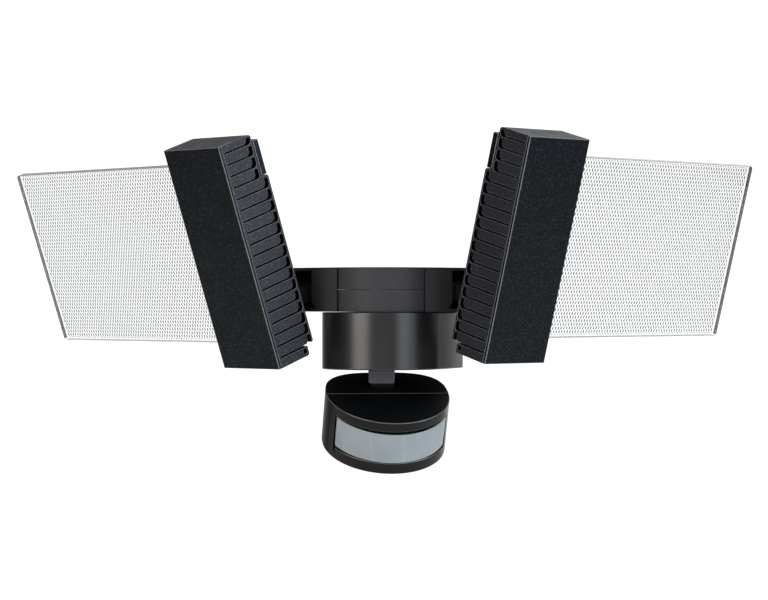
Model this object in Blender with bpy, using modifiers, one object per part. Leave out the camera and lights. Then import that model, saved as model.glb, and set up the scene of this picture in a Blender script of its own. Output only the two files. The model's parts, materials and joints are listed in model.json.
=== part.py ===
"""Wall-mounted motion floodlight: two edge-lit panel heads on stacked swivel collars, and a sensor head.

The object stands in front of a wall: the wall plane is Y = 0, the front faces -Y, +X is to the right
seen from the front, +Z is up. The origin is the centre of the wall plate's back face.
"""
import math

import bmesh
import bpy
from mathutils import Matrix, Vector

MM = 0.001
GAP = 0.3 * MM

# Canopy: a drum with a vertical axis, flat at the wall.
POST_Y = -66 * MM
DRUM_RADIUS = 52.4 * MM
DRUM_BOTTOM = -44 * MM
DRUM_TOP = 5.4 * MM
DRUM_WALL = 2.6 * MM
PLATE_THICK = 3 * MM
PLATE_HEIGHT = 88 * MM
PLATE_FRONT = -PLATE_THICK
HOUSING_BACK = PLATE_FRONT - 2 * MM

# Collars: the left arm turns on the lower one, the right arm on the upper one.
COLLAR_RADIUS = 48.4 * MM
COLLAR_WALL = 3 * MM
COLLAR_BOTTOM = 5.9 * MM
COLLAR_SPLIT = 25 * MM
COLLAR_TOP = 44.1 * MM
POST_RADIUS = 11.5 * MM
POST_BORE = 8 * MM
WASHER_RADIUS = 18 * MM

# Arms, in their own frame: outward is away from the middle, back is towards the wall.
ARM_FACE = -51 * MM
ARM_INNER = 3 * MM
ARM_OUTER = 70 * MM
ARM_BACK = -25 * MM
PIN_OUT = 50.8 * MM
PIN_BACK = -43.2 * MM
PIN_RADIUS = 3 * MM
POCKET_HALF = 15.5 * MM
POCKET_BACK = -33.4 * MM
POCKET_CHAMFER = (6.5 * MM, 5 * MM)
CHAMFER_BACK = -45 * MM
STRIP = 2.5 * MM
ARM_TAIL = ((46 * MM, -12 * MM), (30 * MM, -12 * MM))
ARM_CHAMFER = 6.5 * MM
PIN_START = 30 * MM
KNUCKLE_RADIUS = 9 * MM

# Lamp heads, in a frame whose origin is the tilt pin.
HEAD_WIDTH = 73.1 * MM
HEAD_TOP = 155.1 * MM
HEAD_LENGTH = 197.9 * MM
HEAD_BOTTOM = HEAD_TOP - HEAD_LENGTH
HEAD_FRONT = -82.3 * MM
HEAD_SHALLOW = HEAD_FRONT + 36.6 * MM
HEAD_DEEP = HEAD_FRONT + 44.3 * MM
COVER_THICK = 3 * MM
CASTING_WALL = 3 * MM
CELL_PITCH = 10.1 * MM
CELL_FIRST = 7.1 * MM
CELL_COUNT = 20
GROOVE = 1.4 * MM
GROOVE_DEPTH = 1.6 * MM
STEP_CELLS = 3
PANEL_THICK = 7 * MM
PANEL_SETBACK = 13.6 * MM
PANEL_MARGIN = 18.3 * MM
PANEL_REACH = 240.9 * MM
PANEL_INSERT = 8.5 * MM
PANEL_CORNER = 3 * MM

# Sensor, in a frame whose origin is its tilt pin.
SENSOR_PIN_Y = -5.5 * MM
SENSOR_PIN_Z = -63 * MM
SENSOR_RADIUS = 53.5 * MM
SENSOR_CENTRE = -22.05 * MM
SENSOR_REAR = 39 * MM
SENSOR_TOP = 9.6 * MM
SENSOR_HEIGHT = 46 * MM
SENSOR_WALL = 2.2 * MM
LENS_HALF_ANGLE = math.radians(64)
LENS_TOP = SENSOR_TOP - 7.3 * MM
LENS_HEIGHT = 28.3 * MM
NECK_WIDTH = 23 * MM
NECK_HALF_DEPTH = 7.5 * MM

# The pose the object rests in.
ARM_TURN = {"left": math.radians(-25.9), "right": math.radians(64.4)}
HEAD_TILT = {"left": math.radians(19.9), "right": math.radians(15.7)}
SENSOR_TURN = math.radians(31)
SENSOR_TILT = math.radians(30)

MATERIALS = {
    "black_satin": ((0.018, 0.019, 0.021), 0.38, 0.0),
    "black_cast": ((0.014, 0.015, 0.018), 0.55, 0.4),
    "dark_grey": ((0.05, 0.052, 0.06), 0.5, 0.0),
    "acrylic": ((0.9, 0.92, 0.93), 0.05, 0.0),
    "lens": ((0.62, 0.68, 0.71), 0.4, 0.0),
    "steel": ((0.55, 0.56, 0.57), 0.35, 1.0),
    "board": ((0.02, 0.16, 0.07), 0.5, 0.0),
    "rubber": ((0.02, 0.02, 0.02), 0.9, 0.0),
    "component": ((0.45, 0.4, 0.2), 0.5, 0.0),
}


def clear_scene():
    for old in list(bpy.data.objects):
        bpy.data.objects.remove(old, do_unlink=True)


def new_collection(name):
    made = bpy.data.collections.new(name)
    bpy.context.scene.collection.children.link(made)
    return made


def material(name):
    found = bpy.data.materials.get(name)
    if found:
        return found
    colour, roughness, metallic = MATERIALS[name]
    made = bpy.data.materials.new(name)
    made.use_nodes = True
    shader = made.node_tree.nodes["Principled BSDF"]
    shader.inputs["Base Color"].default_value = (*colour, 1.0)
    shader.inputs["Roughness"].default_value = roughness
    shader.inputs["Metallic"].default_value = metallic
    return made


def add_mesh(name, bm, finish, parent=None):
    """Make an object from a bmesh, as a part with a finish, or as a cutter where finish is None."""
    mesh = bpy.data.meshes.new(name)
    bm.to_mesh(mesh)
    bm.free()
    made = bpy.data.objects.new(name, mesh)
    if finish is None:
        cutters.objects.link(made)
        made.hide_render = True
        made.display_type = "WIRE"
    else:
        parts.objects.link(made)
        mesh.materials.append(material(finish))
        mesh.shade_smooth()
        mesh.set_sharp_from_angle(angle=math.radians(32))
    made.parent = parent
    return made


def box(name, low, high, finish, parent=None):
    """A box from its lowest corner to its highest one."""
    bm = bmesh.new()
    add_box_to(bm, low, high)
    return add_mesh(name, bm, finish, parent)


def add_box_to(bm, low, high):
    size = [h - l for l, h in zip(low, high)]
    middle = [(h + l) / 2 for l, h in zip(low, high)]
    bmesh.ops.create_cube(bm, size=1.0, matrix=Matrix.Translation(middle) @ Matrix.Diagonal((*size, 1.0)))


def sided_box(name, side, low, high, finish, parent=None):
    """A box given for the right-hand side, mirrored across X = 0 when side is -1."""
    xs = sorted((side * low[0], side * high[0]))
    return box(name, (xs[0], *low[1:]), (xs[1], *high[1:]), finish, parent)


def rod(name, radius, start, end, finish, parent=None, segments=24):
    """A cylinder between two points."""
    start, end = Vector(start), Vector(end)
    along = end - start
    turn = along.to_track_quat("Z", "Y").to_matrix().to_4x4()
    bm = bmesh.new()
    bmesh.ops.create_cone(
        bm, cap_ends=True, segments=segments, radius1=radius, radius2=radius, depth=along.length,
        matrix=Matrix.Translation((start + end) / 2) @ turn)
    return add_mesh(name, bm, finish, parent)


def turned(name, profile, finish, parent=None, steps=40, closed=True):
    """A turned piece: a profile of (radius, height) swept round Z, down its outer side."""
    bm = bmesh.new()
    corners = [bm.verts.new((r, 0.0, z)) for r, z in profile]
    for first, second in zip(corners, corners[1:]):
        bm.edges.new((first, second))
    if closed:
        bm.edges.new((corners[-1], corners[0]))
    made = add_mesh(name, bm, finish, parent)
    screw = made.modifiers.new("turn", "SCREW")
    screw.steps = steps
    screw.render_steps = steps
    screw.use_merge_vertices = True
    screw.merge_threshold = 0.00005
    screw.use_smooth_shade = True
    return made


def prism(name, outline, low, high, plane, finish, parent=None):
    """A flat outline extruded between two heights: plane is XY, XZ or YZ."""
    curve = bpy.data.curves.new(name + "_outline", "CURVE")
    curve.dimensions = "2D"
    curve.fill_mode = "BOTH"
    curve.extrude = (high - low) / 2
    spline = curve.splines.new("POLY")
    spline.points.add(len(outline) - 1)
    for point, (a, b) in zip(spline.points, outline):
        point.co = (a, b, 0.0, 1.0)
    spline.use_cyclic_u = True
    guide = bpy.data.objects.new(name + "_outline", curve)
    cutters.objects.link(guide)
    bpy.context.view_layer.update()
    mesh = bpy.data.meshes.new_from_object(guide.evaluated_get(bpy.context.evaluated_depsgraph_get()))
    bpy.data.objects.remove(guide, do_unlink=True)
    bm = bmesh.new()
    bm.from_mesh(mesh)
    bmesh.ops.remove_doubles(bm, verts=bm.verts, dist=0.000005)
    turns = {
        "XY": Matrix.Identity(4),
        "XZ": Matrix(((1, 0, 0, 0), (0, 0, 1, 0), (0, 1, 0, 0), (0, 0, 0, 1))),
        "YZ": Matrix(((0, 0, 1, 0), (1, 0, 0, 0), (0, 1, 0, 0), (0, 0, 0, 1))),
    }
    middle = Matrix.Translation((0, 0, (low + high) / 2))
    bmesh.ops.transform(bm, matrix=turns[plane] @ middle, verts=bm.verts)
    bmesh.ops.recalc_face_normals(bm, faces=bm.faces)
    bpy.data.meshes.remove(mesh)
    return add_mesh(name, bm, finish, parent)


def combine(target, other, operation="DIFFERENCE"):
    """Cut the other solid from the target, or join it to the target."""
    if other.name in parts.objects:
        parts.objects.unlink(other)
        cutters.objects.link(other)
        other.hide_render = True
        other.display_type = "WIRE"
    change = target.modifiers.new(other.name, "BOOLEAN")
    change.operation = operation
    change.solver = "EXACT"
    change.object = other
    return target


def empty(name, place, turn=(0, 0, 0), parent=None):
    made = bpy.data.objects.new(name, None)
    scene_root.objects.link(made)
    made.location = place
    made.rotation_euler = turn
    made.parent = parent
    return made


def arc(centre, radius, start, end, steps):
    """Points along a circle, angles in degrees counter-clockwise from +X."""
    points = []
    for n in range(steps + 1):
        angle = math.radians(start + (end - start) * n / steps)
        points.append((centre[0] + radius * math.cos(angle), centre[1] + radius * math.sin(angle)))
    return points


def drum_outline(inset, back):
    """The canopy's plan: half a circle in front, straight sides to the wall."""
    radius = DRUM_RADIUS - inset
    return arc((0, POST_Y), radius, 180, 360, 36) + [(radius, back), (-radius, back)]


def make_canopy():
    plate_half = DRUM_RADIUS - 1 * MM
    plate = box(
        "wall_plate", (-plate_half, PLATE_FRONT, -PLATE_HEIGHT / 2), (plate_half, 0, PLATE_HEIGHT / 2), "steel")
    combine(plate, rod("wire_hole", 11 * MM, (0, -10 * MM, -18 * MM), (0, 10 * MM, -18 * MM), None))
    for n, x in enumerate((-35 * MM, 35 * MM)):
        slot = box(f"plate_slot_{n}", (x - 7 * MM, -9 * MM, 18 * MM), (x + 7 * MM, 9 * MM, 22.5 * MM), None)
        combine(plate, slot)
    turned_grommet = turned(
        "wire_grommet",
        [(6 * MM, 3 * MM), (13 * MM, 3 * MM), (13 * MM, 1 * MM), (10.6 * MM, 1 * MM),
         (10.6 * MM, -2.6 * MM), (6 * MM, -2.6 * MM)],
        "rubber", steps=24)
    turned_grommet.location = (0, PLATE_FRONT - 1.3 * MM + 0.3 * MM, -18 * MM)
    turned_grommet.rotation_euler = (math.radians(90), 0, 0)

    housing = prism(
        "canopy_housing", drum_outline(0, HOUSING_BACK), DRUM_BOTTOM, DRUM_TOP, "XY", "black_satin")
    combine(housing, prism(
        "canopy_inside", drum_outline(DRUM_WALL, 10 * MM), DRUM_BOTTOM + DRUM_WALL, DRUM_TOP - DRUM_WALL,
        "XY", None))
    combine(housing, rod("post_hole", POST_RADIUS + GAP, (0, POST_Y, 0), (0, POST_Y, 12 * MM), None, segments=32))
    combine(housing, rod(
        "neck_hole", 9 * MM, (0, POST_Y, DRUM_BOTTOM - 5 * MM), (0, POST_Y, DRUM_BOTTOM + 6 * MM), None,
        segments=32))

    seal_outer = DRUM_RADIUS - 1.2 * MM
    seal = box(
        "canopy_seal", (-seal_outer, HOUSING_BACK + GAP, DRUM_BOTTOM + 1 * MM),
        (seal_outer, PLATE_FRONT - GAP, DRUM_TOP - 1 * MM), "rubber")
    seal_inner = seal_outer - 4 * MM
    combine(seal, box(
        "seal_inside", (-seal_inner, -20 * MM, DRUM_BOTTOM + 5 * MM), (seal_inner, 0, DRUM_TOP - 5 * MM), None))


def make_driver():
    """The mains driver in the drum, in front of the space for the house wires."""
    board_y = -42 * MM
    box("driver_board", (-40 * MM, board_y - 1.6 * MM, -38 * MM), (40 * MM, board_y, -4 * MM), "board")
    front = board_y - 1.6 * MM - GAP
    box("transformer", (-36 * MM, front - 17 * MM, -34 * MM), (-16 * MM, front, -12 * MM), "component")
    rod("bulk_capacitor", 5 * MM, (26 * MM, front - 22 * MM, -14 * MM), (26 * MM, front, -14 * MM), "dark_grey")
    box("relay", (18 * MM, front - 14 * MM, -36 * MM), (34 * MM, front, -24 * MM), "dark_grey")
    box("terminal_block", (-20 * MM, board_y + GAP, -34 * MM), (20 * MM, board_y + 9 * MM, -24 * MM), "acrylic")


def make_post():
    """The hollow post that the arms swivel on, with its washers, sleeve and cap."""
    flange_top = DRUM_TOP - DRUM_WALL - GAP
    flange_bottom = flange_top - 2.5 * MM
    post_top = COLLAR_TOP - 3 * MM
    turned(
        "hinge_post",
        [(POST_BORE, post_top), (POST_RADIUS, post_top), (POST_RADIUS, flange_top), (17 * MM, flange_top),
         (17 * MM, flange_bottom), (POST_BORE, flange_bottom)],
        "steel").location = (0, POST_Y, 0)
    bore = POST_RADIUS + 0.4 * MM
    washer_low, washer_high = DRUM_TOP + GAP, COLLAR_BOTTOM + 2.2 * MM
    turned(
        "friction_washer",
        [(bore, washer_high), (WASHER_RADIUS, washer_high), (WASHER_RADIUS, washer_low), (bore, washer_low)],
        "rubber").location = (0, POST_Y, 0)
    sleeve_low, sleeve_high = COLLAR_BOTTOM + 5.8 * MM, COLLAR_TOP - 6.3 * MM
    turned(
        "spacer_sleeve",
        [(bore, sleeve_high), (15 * MM, sleeve_high), (15 * MM, sleeve_low), (bore, sleeve_low)],
        "steel").location = (0, POST_Y, 0)
    cap_low, cap_high = COLLAR_TOP - 2.7 * MM, COLLAR_TOP - 0.4 * MM
    plug_low = cap_low - 6 * MM
    turned(
        "post_cap",
        [(0, cap_high), (WASHER_RADIUS, cap_high), (WASHER_RADIUS, cap_low), (POST_BORE - GAP, cap_low),
         (POST_BORE - GAP, plug_low), (0, plug_low)],
        "black_satin", closed=False).location = (0, POST_Y, 0)


def collar_profile(low, high, web_low, web_high):
    """A collar's section: a hub bore, a flat web, and a rim that reaches the full height."""
    bore = POST_RADIUS + 0.4 * MM
    inner = COLLAR_RADIUS - COLLAR_WALL
    return [
        (bore, web_high), (inner, web_high), (inner, high), (COLLAR_RADIUS, high),
        (COLLAR_RADIUS, low), (inner, low), (inner, web_low), (bore, web_low)]


def make_arm(name, side, swivel):
    """One arm: its collar, its flat front face, and the pocket that holds the lamp's knuckle."""
    half_gap = GAP / 2
    if side < 0:
        low, high = COLLAR_BOTTOM, COLLAR_SPLIT - half_gap
        web = (COLLAR_BOTTOM + 2.5 * MM, COLLAR_BOTTOM + 5.5 * MM)
        other = (COLLAR_SPLIT - half_gap, COLLAR_TOP + 5 * MM)
    else:
        low, high = COLLAR_SPLIT + half_gap, COLLAR_TOP
        web = (COLLAR_TOP - 6 * MM, COLLAR_TOP - 3 * MM)
        other = (COLLAR_BOTTOM - 5 * MM, COLLAR_SPLIT + half_gap)
    outline = [
        (side * ARM_INNER, ARM_FACE), (side * ARM_OUTER, ARM_FACE), (side * ARM_OUTER, ARM_BACK)]
    outline += [(side * out, back) for out, back in ARM_TAIL]
    arm = prism(f"{name}_arm", outline, COLLAR_BOTTOM, COLLAR_TOP, "XY", "black_satin", swivel)
    combine(arm, rod(
        f"{name}_arm_clear", COLLAR_RADIUS + 0.4 * MM, (0, 0, other[0]), (0, 0, other[1]), None, swivel,
        segments=72))
    collar = turned(f"{name}_collar", collar_profile(low, high, *web), None, swivel, steps=72)
    combine(arm, collar, "UNION")
    combine(arm, sided_box(
        f"{name}_pocket", side, (PIN_OUT - POCKET_HALF, ARM_FACE - 5 * MM, COLLAR_BOTTOM + STRIP),
        (PIN_OUT + POCKET_HALF, POCKET_BACK, COLLAR_TOP - STRIP), None, swivel))
    edge, floor = PIN_OUT - POCKET_HALF, COLLAR_BOTTOM + STRIP
    chamfer = [(edge + MM, floor), (edge + MM, floor + POCKET_CHAMFER[1] + MM * 0.8),
               (edge - POCKET_CHAMFER[0], floor)]
    combine(arm, prism(
        f"{name}_pocket_chamfer", [(side * x, z) for x, z in chamfer], ARM_FACE - MM, CHAMFER_BACK, "XZ", None,
        swivel))
    combine(arm, rod(
        f"{name}_pin_bore", PIN_RADIUS + GAP, (side * (PIN_START - GAP), PIN_BACK, COLLAR_SPLIT),
        (side * (ARM_OUTER + 10 * MM), PIN_BACK, COLLAR_SPLIT), None, swivel))
    corner = [(ARM_OUTER + MM, COLLAR_BOTTOM - MM), (ARM_OUTER + MM, COLLAR_BOTTOM + ARM_CHAMFER),
              (ARM_OUTER - ARM_CHAMFER, COLLAR_BOTTOM - MM)]
    combine(arm, prism(
        f"{name}_arm_corner", [(side * x, z) for x, z in corner], ARM_FACE - MM, 0, "XZ", None, swivel))

    pin = rod(
        f"{name}_tilt_pin", PIN_RADIUS, (side * PIN_START, PIN_BACK, COLLAR_SPLIT),
        (side * (ARM_OUTER + 2.5 * MM), PIN_BACK, COLLAR_SPLIT), "steel", swivel)
    combine(pin, rod(
        f"{name}_pin_head", 5.5 * MM, (side * (ARM_OUTER + GAP), PIN_BACK, COLLAR_SPLIT),
        (side * (ARM_OUTER + 3.2 * MM), PIN_BACK, COLLAR_SPLIT), None, swivel), "UNION")


def head_outline():
    """The lamp housing's side profile in Y and Z: stepped back at both ends."""
    step_top = HEAD_TOP - CELL_FIRST - STEP_CELLS * CELL_PITCH
    step_bottom = HEAD_BOTTOM + 9.5 * MM
    front = HEAD_FRONT + COVER_THICK + GAP
    return [
        (front, HEAD_BOTTOM), (HEAD_SHALLOW, HEAD_BOTTOM), (HEAD_SHALLOW, step_bottom),
        (HEAD_DEEP, step_bottom), (HEAD_DEEP, step_top), (HEAD_SHALLOW, step_top),
        (HEAD_SHALLOW, HEAD_TOP), (front, HEAD_TOP)]


def fin_grooves(name, side, tilt):
    """The grooves between the cooling cells on the head's inner side, as one cutter."""
    bm = bmesh.new()
    inner = side * -(HEAD_WIDTH / 2)
    xs = sorted((inner - side * MM, inner + side * GROOVE_DEPTH))
    for n in range(CELL_COUNT - 1):
        z = HEAD_TOP - CELL_FIRST - n * CELL_PITCH
        start = HEAD_FRONT + COVER_THICK + 1.5 * MM
        end = HEAD_SHALLOW if n < STEP_CELLS or n == CELL_COUNT - 2 else HEAD_DEEP
        add_box_to(bm, (xs[0], start, z - GROOVE / 2), (xs[1], end - 1.5 * MM, z + GROOVE / 2))
    return add_mesh(name, bm, None, tilt)


def make_head(name, side, tilt):
    half = HEAD_WIDTH / 2
    box(f"{name}_front_cover", (-half, HEAD_FRONT, HEAD_BOTTOM), (half, HEAD_FRONT + COVER_THICK, HEAD_TOP),
        "black_cast", tilt)

    housing = prism(f"{name}_lamp_housing", head_outline(), -half, half, "YZ", "black_cast", tilt)
    combine(housing, fin_grooves(f"{name}_grooves", side, tilt))
    panel_front = HEAD_FRONT + PANEL_SETBACK
    panel_back = panel_front + PANEL_THICK
    panel_top = HEAD_TOP - PANEL_MARGIN
    panel_bottom = HEAD_BOTTOM + PANEL_MARGIN
    cavity = sided_box(
        f"{name}_inside", side, (CASTING_WALL + MM - half, HEAD_FRONT, HEAD_BOTTOM + CASTING_WALL),
        (half - CASTING_WALL, HEAD_SHALLOW - CASTING_WALL, HEAD_TOP - CASTING_WALL), None, tilt)
    combine(housing, cavity)
    seal_room = 2 * MM
    combine(housing, sided_box(
        f"{name}_panel_slot", side, (half - 10 * MM, panel_front - seal_room, panel_bottom - seal_room),
        (half + 5 * MM, panel_back + seal_room, panel_top + seal_room), None, tilt))

    corner = PANEL_CORNER
    x0, x1 = half - PANEL_INSERT, half + PANEL_REACH
    outline = [(x0, panel_top), (x0, panel_bottom)]
    outline += arc((x1 - corner, panel_bottom + corner), corner, -90, 0, 6)
    outline += arc((x1 - corner, panel_top - corner), corner, 0, 90, 6)
    prism(f"{name}_light_panel", [(side * x, z) for x, z in outline], panel_front, panel_back, "XZ",
          "acrylic", tilt)

    seal = sided_box(
        f"{name}_panel_seal", side,
        (half - 2.7 * MM, panel_front - seal_room + GAP, panel_bottom - seal_room + GAP),
        (half - GAP, panel_back + seal_room - GAP, panel_top + seal_room - GAP), "rubber", tilt)
    combine(seal, sided_box(
        f"{name}_seal_inside", side, (half - 9 * MM, panel_front - GAP, panel_bottom - GAP),
        (half + 9 * MM, panel_back + GAP, panel_top + GAP), None, tilt))

    board_x = x0 - 3.4 * MM
    chip = 3 * MM
    count = 16
    pitch = (panel_top - panel_bottom - 8 * MM) / count
    teeth = [(board_x, panel_bottom), (board_x + 1.6 * MM, panel_bottom)]
    for n in range(count):
        z = panel_bottom + 4 * MM + (n + 0.5) * pitch
        teeth += [
            (board_x + 1.6 * MM, z - chip / 2), (board_x + 2.6 * MM, z - chip / 2),
            (board_x + 2.6 * MM, z + chip / 2), (board_x + 1.6 * MM, z + chip / 2)]
    teeth += [(board_x + 1.6 * MM, panel_top), (board_x, panel_top)]
    prism(f"{name}_led_strip", [(side * x, z) for x, z in teeth], panel_front - MM, panel_back + MM, "XZ",
          "board", tilt)

    sided_box(
        f"{name}_heat_spreader", side, (board_x - 3.3 * MM, panel_front - 4 * MM, panel_bottom - 3 * MM),
        (board_x - GAP, panel_back + 4 * MM, panel_top + 3 * MM), "steel", tilt)

    bar_low, bar_high = HEAD_TOP - CELL_FIRST - STEP_CELLS * CELL_PITCH + GAP, HEAD_TOP - 6.3 * MM
    bar_half = half - MM
    bar = box(f"{name}_driver_cover", (-bar_half, HEAD_SHALLOW + 1.6 * MM, bar_low),
              (bar_half, HEAD_DEEP, bar_high), "black_cast", tilt)
    combine(bar, box(
        f"{name}_cover_foot", (3 * MM - bar_half, HEAD_SHALLOW + GAP, bar_low + 2 * MM),
        (bar_half - 3 * MM, HEAD_SHALLOW + 3 * MM, bar_high - 2 * MM), None, tilt), "UNION")

    flange_front = HEAD_DEEP + GAP
    knuckle = rod(
        f"{name}_knuckle", KNUCKLE_RADIUS, (-POCKET_HALF + 0.5 * MM, 0, 0), (POCKET_HALF - 0.5 * MM, 0, 0),
        "black_satin", tilt, segments=40)
    combine(knuckle, box(
        f"{name}_knuckle_neck", (-12 * MM, flange_front + MM, -7 * MM), (12 * MM, -5 * MM, 7 * MM),
        None, tilt), "UNION")
    combine(knuckle, box(
        f"{name}_knuckle_flange", (-15 * MM, flange_front, -16 * MM), (15 * MM, flange_front + 3.2 * MM, 16 * MM),
        None, tilt), "UNION")
    combine(knuckle, rod(
        f"{name}_knuckle_bore", PIN_RADIUS + GAP, (-30 * MM, 0, 0), (30 * MM, 0, 0), None, tilt))
    for n, z in enumerate((-12 * MM, 12 * MM)):
        y = flange_front + 3.2 * MM + GAP
        rod(f"{name}_knuckle_screw_{n + 1}", 2.6 * MM, (0, y, z), (0, y + 1.6 * MM, z), "steel", tilt,
            segments=12)


def sensor_outline(inset, front_half, past_seam=0.0):
    """Half of the sensor's plan: a half circle in front, a flattened half behind the seam."""
    radius = SENSOR_RADIUS - inset
    if front_half:
        seam = SENSOR_CENTRE - GAP / 2
        points = arc((0, seam), radius, 180, 360, 36)
        beyond = seam + past_seam
    else:
        seam = SENSOR_CENTRE + GAP / 2
        flatness = 2 / 3
        points = []
        for n in range(33):
            angle = math.pi * n / 32
            across = math.copysign(abs(math.cos(angle)) ** flatness, math.cos(angle))
            points.append((radius * across, seam + (SENSOR_REAR - inset) * math.sin(angle) ** flatness))
        beyond = seam - past_seam
    if past_seam:
        points += [(math.copysign(radius, points[-1][0]), beyond), (math.copysign(radius, points[0][0]), beyond)]
    return points


def make_sensor_neck(swivel):
    neck = rod("sensor_neck", 8.7 * MM, (0, 0, DRUM_BOTTOM - 3 * MM), (0, 0, DRUM_BOTTOM + DRUM_WALL + 4 * MM),
               "dark_grey", swivel, segments=32)
    floor = DRUM_BOTTOM + DRUM_WALL + GAP
    combine(neck, rod("neck_flange", 13 * MM, (0, 0, floor), (0, 0, floor + 2 * MM), None, swivel,
                      segments=32), "UNION")
    half = NECK_WIDTH / 2
    tab = arc((SENSOR_PIN_Y, SENSOR_PIN_Z), NECK_HALF_DEPTH, 180, 360, 14) + [
        (SENSOR_PIN_Y + NECK_HALF_DEPTH, DRUM_BOTTOM - GAP), (SENSOR_PIN_Y - NECK_HALF_DEPTH, DRUM_BOTTOM - GAP)]
    combine(neck, prism("neck_tab", tab, -half, half, "YZ", None, swivel), "UNION")
    combine(neck, rod("neck_bore", 2.8 * MM, (-20 * MM, SENSOR_PIN_Y, SENSOR_PIN_Z),
                      (20 * MM, SENSOR_PIN_Y, SENSOR_PIN_Z), None, swivel))
    rod("sensor_tilt_pin", 2.5 * MM, (-14.6 * MM, SENSOR_PIN_Y, SENSOR_PIN_Z),
        (14.6 * MM, SENSOR_PIN_Y, SENSOR_PIN_Z), "steel", swivel, segments=16)


def make_sensor_head(tilt):
    bottom = SENSOR_TOP - SENSOR_HEIGHT
    wall = SENSOR_WALL
    front = prism("sensor_front_shell", sensor_outline(0, True), bottom, SENSOR_TOP, "XY",
                  "black_satin", tilt)
    combine(front, prism("front_shell_inside", sensor_outline(wall, True, 5 * MM), bottom + wall,
                         SENSOR_TOP - wall, "XY", None, tilt))
    window = math.degrees(LENS_HALF_ANGLE)
    outer = SENSOR_RADIUS + 3 * MM
    window_outline = arc((0, SENSOR_CENTRE), outer, 270 - window, 270 + window, 32) + [(0, SENSOR_CENTRE)]
    lens_bottom = LENS_TOP - LENS_HEIGHT
    combine(front, prism("lens_window", window_outline, lens_bottom, LENS_TOP, "XY", None, tilt))

    lens_outer = SENSOR_RADIUS - 0.7 * MM
    lens_inner = lens_outer - 1.2 * MM
    inset = 0.4
    lens_outline = arc((0, SENSOR_CENTRE), lens_outer, 270 - window + inset, 270 + window - inset, 40)
    lens_outline += arc((0, SENSOR_CENTRE), lens_inner, 270 + window - inset, 270 - window + inset, 40)
    prism("fresnel_lens", lens_outline, lens_bottom + GAP, LENS_TOP - GAP, "XY", "lens", tilt)

    rear = prism("sensor_rear_shell", sensor_outline(0, False), bottom, SENSOR_TOP, "XY",
                 "black_satin", tilt)
    combine(rear, prism("rear_shell_inside", sensor_outline(wall, False, 5 * MM), bottom + wall,
                        SENSOR_TOP - wall, "XY", None, tilt))
    slot_half = NECK_WIDTH / 2 + 0.5 * MM
    back = SENSOR_CENTRE + SENSOR_REAR
    combine(rear, box("neck_well", (-slot_half - 3 * MM, -12 * MM, -13 * MM),
                      (slot_half + 3 * MM, back - 1 * MM, SENSOR_TOP - MM), None, tilt), "UNION")
    combine(rear, box("neck_slot", (-slot_half, -8.8 * MM, -9.5 * MM),
                      (slot_half, back + 9 * MM, SENSOR_TOP + 9 * MM), None, tilt))
    combine(rear, rod("sensor_bore", 2.8 * MM, (-14.9 * MM, 0, 0), (14.9 * MM, 0, 0), None, tilt))

    box("sensor_board", (-30 * MM, -26 * MM, -30 * MM), (30 * MM, -24.4 * MM, 4 * MM), "board", tilt)
    rod("pyro_detector", 4.6 * MM, (0, -31 * MM, -12 * MM), (0, -26.3 * MM, -12 * MM), "steel", tilt)
    for n, x in enumerate((-14 * MM, 14 * MM)):
        label = ("time_dial", "range_dial")[n]
        y = -2 * MM
        combine(rear, rod(f"{label}_hole", 5.3 * MM, (x, y, bottom - 5 * MM), (x, y, bottom + 5 * MM), None,
                          tilt))
        dial = rod(label, 5 * MM, (0, 0, -1.6 * MM), (0, 0, 5 * MM), "dark_grey", tilt)
        dial.location = (x, y, bottom)
        notch = box(f"{label}_notch", (-4.2 * MM, -0.5 * MM, -3 * MM), (4.2 * MM, 0.5 * MM, -0.8 * MM), None, dial)
        combine(dial, notch)


clear_scene()
scene_root = bpy.context.scene.collection
parts = new_collection("motion_floodlight")
cutters = new_collection("cutters")

make_canopy()
make_driver()
make_post()
for arm_name, arm_side in (("left", -1), ("right", 1)):
    arm_swivel = empty(f"{arm_name}_arm_swivel", (0, POST_Y, 0), (0, 0, ARM_TURN[arm_name]))
    head_tilt = empty(
        f"{arm_name}_head_tilt", (arm_side * PIN_OUT, PIN_BACK, COLLAR_SPLIT), (HEAD_TILT[arm_name], 0, 0),
        arm_swivel)
    make_arm(arm_name, arm_side, arm_swivel)
    make_head(arm_name, arm_side, head_tilt)
sensor_swivel = empty("sensor_swivel", (0, POST_Y, 0), (0, 0, SENSOR_TURN))
sensor_tilt = empty("sensor_tilt", (0, SENSOR_PIN_Y, SENSOR_PIN_Z), (SENSOR_TILT, 0, 0), sensor_swivel)
make_sensor_neck(sensor_swivel)
make_sensor_head(sensor_tilt)
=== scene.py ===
"""The looks of the motion floodlight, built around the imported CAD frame.

Every piece takes its place from the frame. The lamp heads and the sensor are built in local frames that
come from the joints' axes and the CAD nodes' boxes. The arms and the small parts are the CAD nodes
themselves, with rounded edges.
"""
import json
import math

import bmesh
import bpy
from mathutils import Matrix, Vector


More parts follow.
